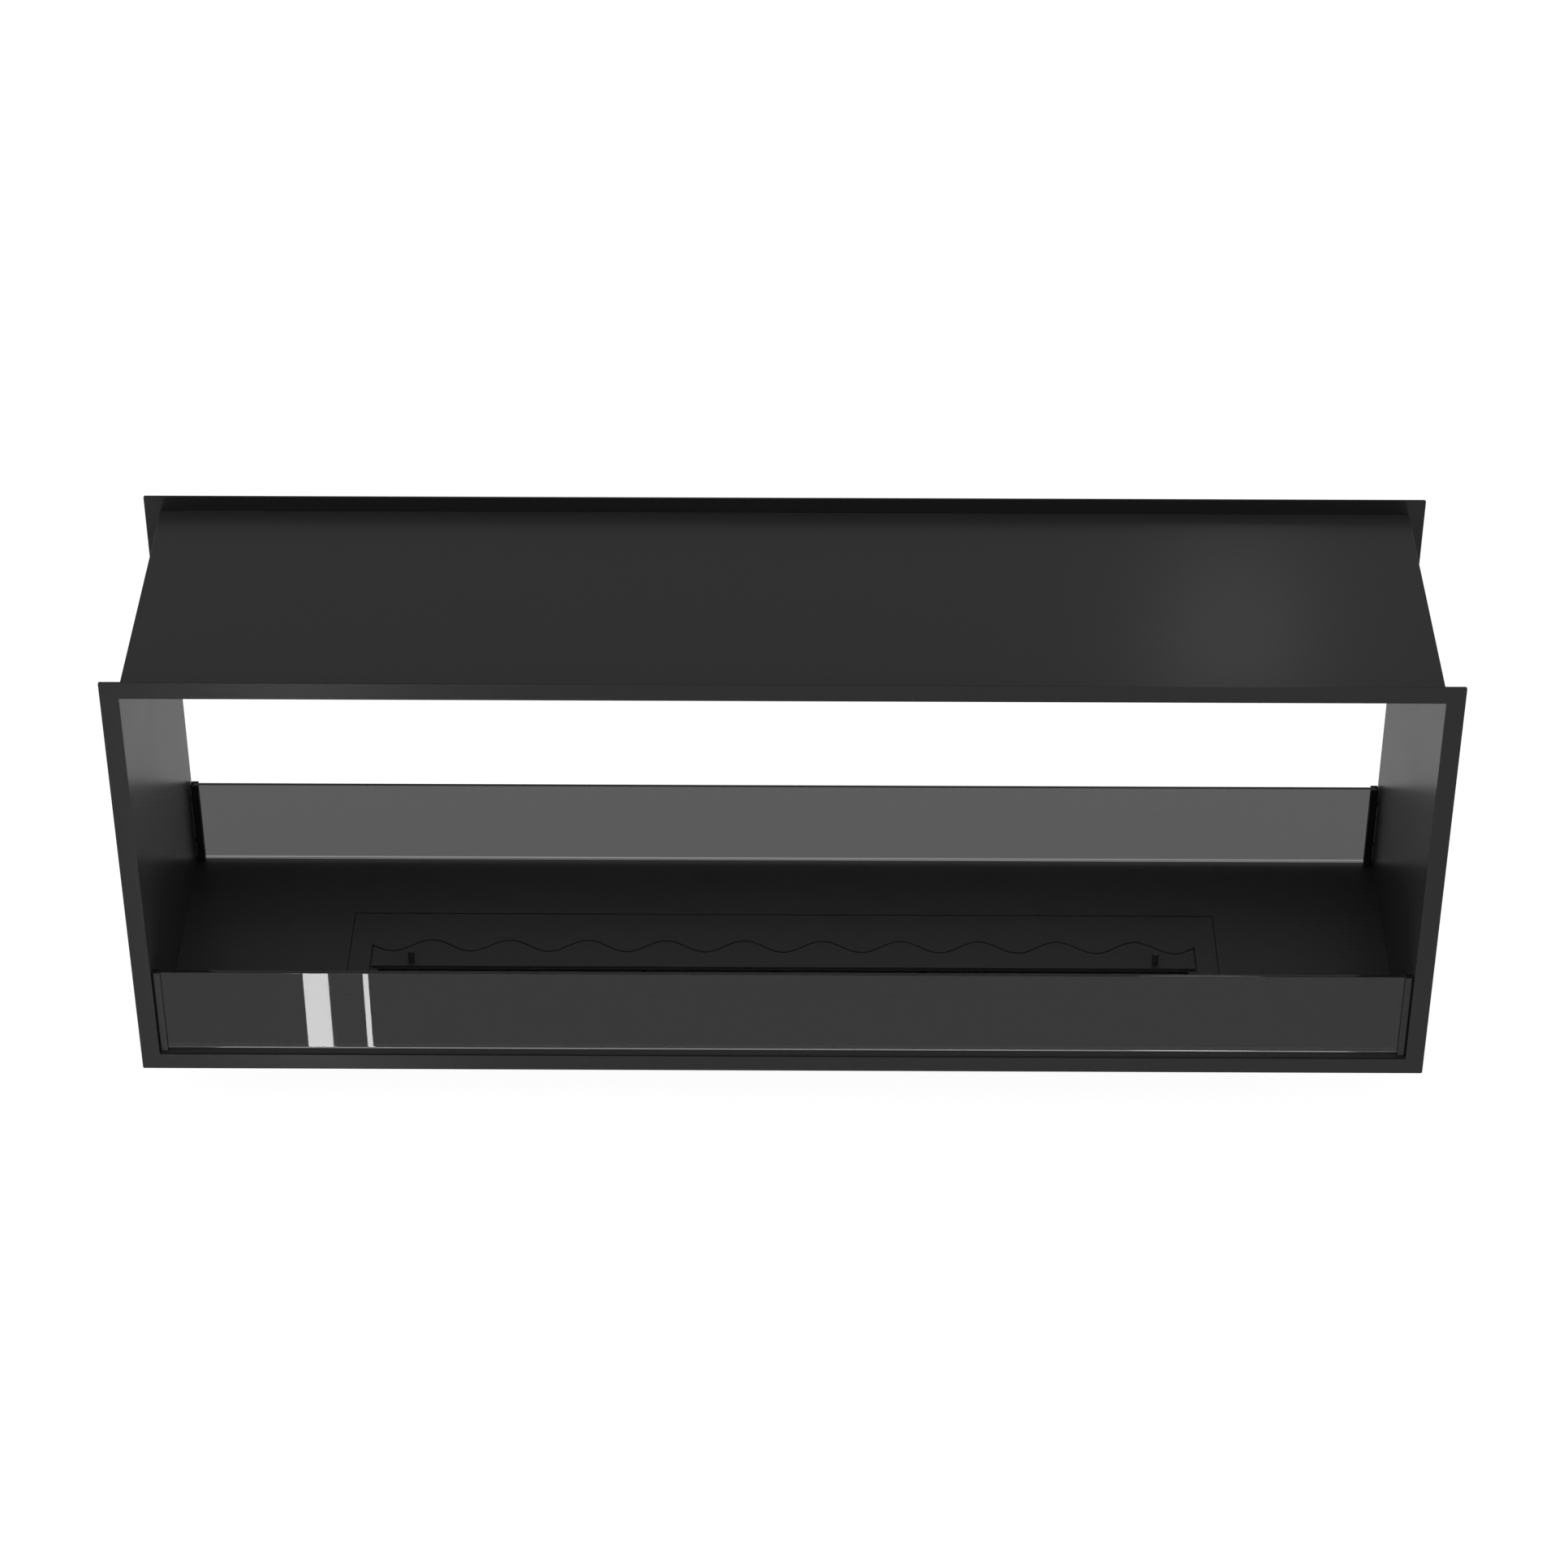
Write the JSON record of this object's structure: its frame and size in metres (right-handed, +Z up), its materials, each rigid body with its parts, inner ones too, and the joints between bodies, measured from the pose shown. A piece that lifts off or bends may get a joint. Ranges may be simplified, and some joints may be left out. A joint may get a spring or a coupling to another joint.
{
  "type": "built-in bio-ethanol fireplace",
  "caption": "See-through built-in ethanol fireplace: black sheet-metal tunnel with frames, lift-out glass screens and a lift-out burner with a sliding wavy-edged lid.",
  "frame": {"origin": "centre of the burner housing's underside, on which the part stands", "axes": "+X along the width, to the right seen from the front; +Y from the front frame to the rear frame; +Z up"},
  "size_m": [1.2, 0.308, 0.48],
  "materials": {
    "frame_coat": "matte black powder coat on 2 mm steel",
    "panel_coat": "matte black powder coat on steel sheet",
    "channel_coat": "matte black powder coat on folded steel",
    "burner_coat": "heat-proof satin black paint on laser-cut steel",
    "smoked_glass": "smoked toughened glass with polished edges",
    "silicone": "matte moulded silicone",
    "stainless_steel": "brushed stainless steel",
    "black_screw": "black-oxide steel",
    "ceramic_wool": "pressed white ceramic fibre"
  },
  "bodies": {
    "tunnel": {"front_frame": "frame_coat", "rear_frame": "frame_coat", "top_panel": "panel_coat", "base_panel": "panel_coat", "left_side_panel": "panel_coat", "right_side_panel": "panel_coat", "channel_front_left": "channel_coat", "channel_front_right": "channel_coat", "channel_rear_left": "channel_coat", "channel_rear_right": "channel_coat", "glass_pad_front_left": "silicone", "glass_pad_front_right": "silicone", "glass_pad_rear_left": "silicone", "glass_pad_rear_right": "silicone", "burner_ledge": "panel_coat", "burner_housing": "panel_coat", "housing_fixing_1": "stainless_steel", "housing_fixing_2": "stainless_steel", "housing_fixing_3": "stainless_steel", "housing_fixing_4": "stainless_steel", "housing_fixing_5": "stainless_steel", "housing_fixing_6": "stainless_steel", "rear_bracket_1": "panel_coat", "rear_bracket_2": "panel_coat", "rear_bracket_3": "panel_coat", "rear_bracket_4": "panel_coat", "rear_bracket_5": "panel_coat", "rear_bracket_6": "panel_coat", "rear_screw_1": "black_screw", "rear_screw_2": "black_screw", "rear_screw_3": "black_screw", "rear_screw_4": "black_screw", "rear_screw_5": "black_screw", "rear_screw_6": "black_screw", "channel_screw_front_left_1": "black_screw", "channel_screw_front_left_2": "black_screw", "channel_screw_front_right_1": "black_screw", "channel_screw_front_right_2": "black_screw", "channel_screw_rear_left_1": "black_screw", "channel_screw_rear_left_2": "black_screw", "channel_screw_rear_right_1": "black_screw", "channel_screw_rear_right_2": "black_screw"},
    "burner": {"burner_top_plate": "burner_coat", "burner_deck": "burner_coat", "fuel_tank": "stainless_steel", "ceramic_block_1": "ceramic_wool", "ceramic_block_2": "ceramic_wool", "ceramic_block_3": "ceramic_wool"},
    "lid": {"burner_lid": "burner_coat", "lid_pin_left": "burner_coat", "lid_pin_right": "burner_coat"},
    "front_screen": {"front_glass": "smoked_glass"},
    "rear_screen": {"rear_glass": "smoked_glass"}
  },
  "joints": [
    {"name": "lid_slide", "type": "slide", "parent": "burner", "child": "lid", "axis": [0, -1, 0], "range_m": [0, 0.022]},
    {"name": "burner_lift", "type": "slide", "parent": "tunnel", "child": "burner", "axis": [0, 0, 1], "range_m": [0, 0.06]},
    {"name": "front_screen_lift", "type": "slide", "parent": "tunnel", "child": "front_screen", "axis": [0, 0, 1], "range_m": [0, 0.095]},
    {"name": "rear_screen_lift", "type": "slide", "parent": "tunnel", "child": "rear_screen", "axis": [0, 0, 1], "range_m": [0, 0.095]}
  ]
}
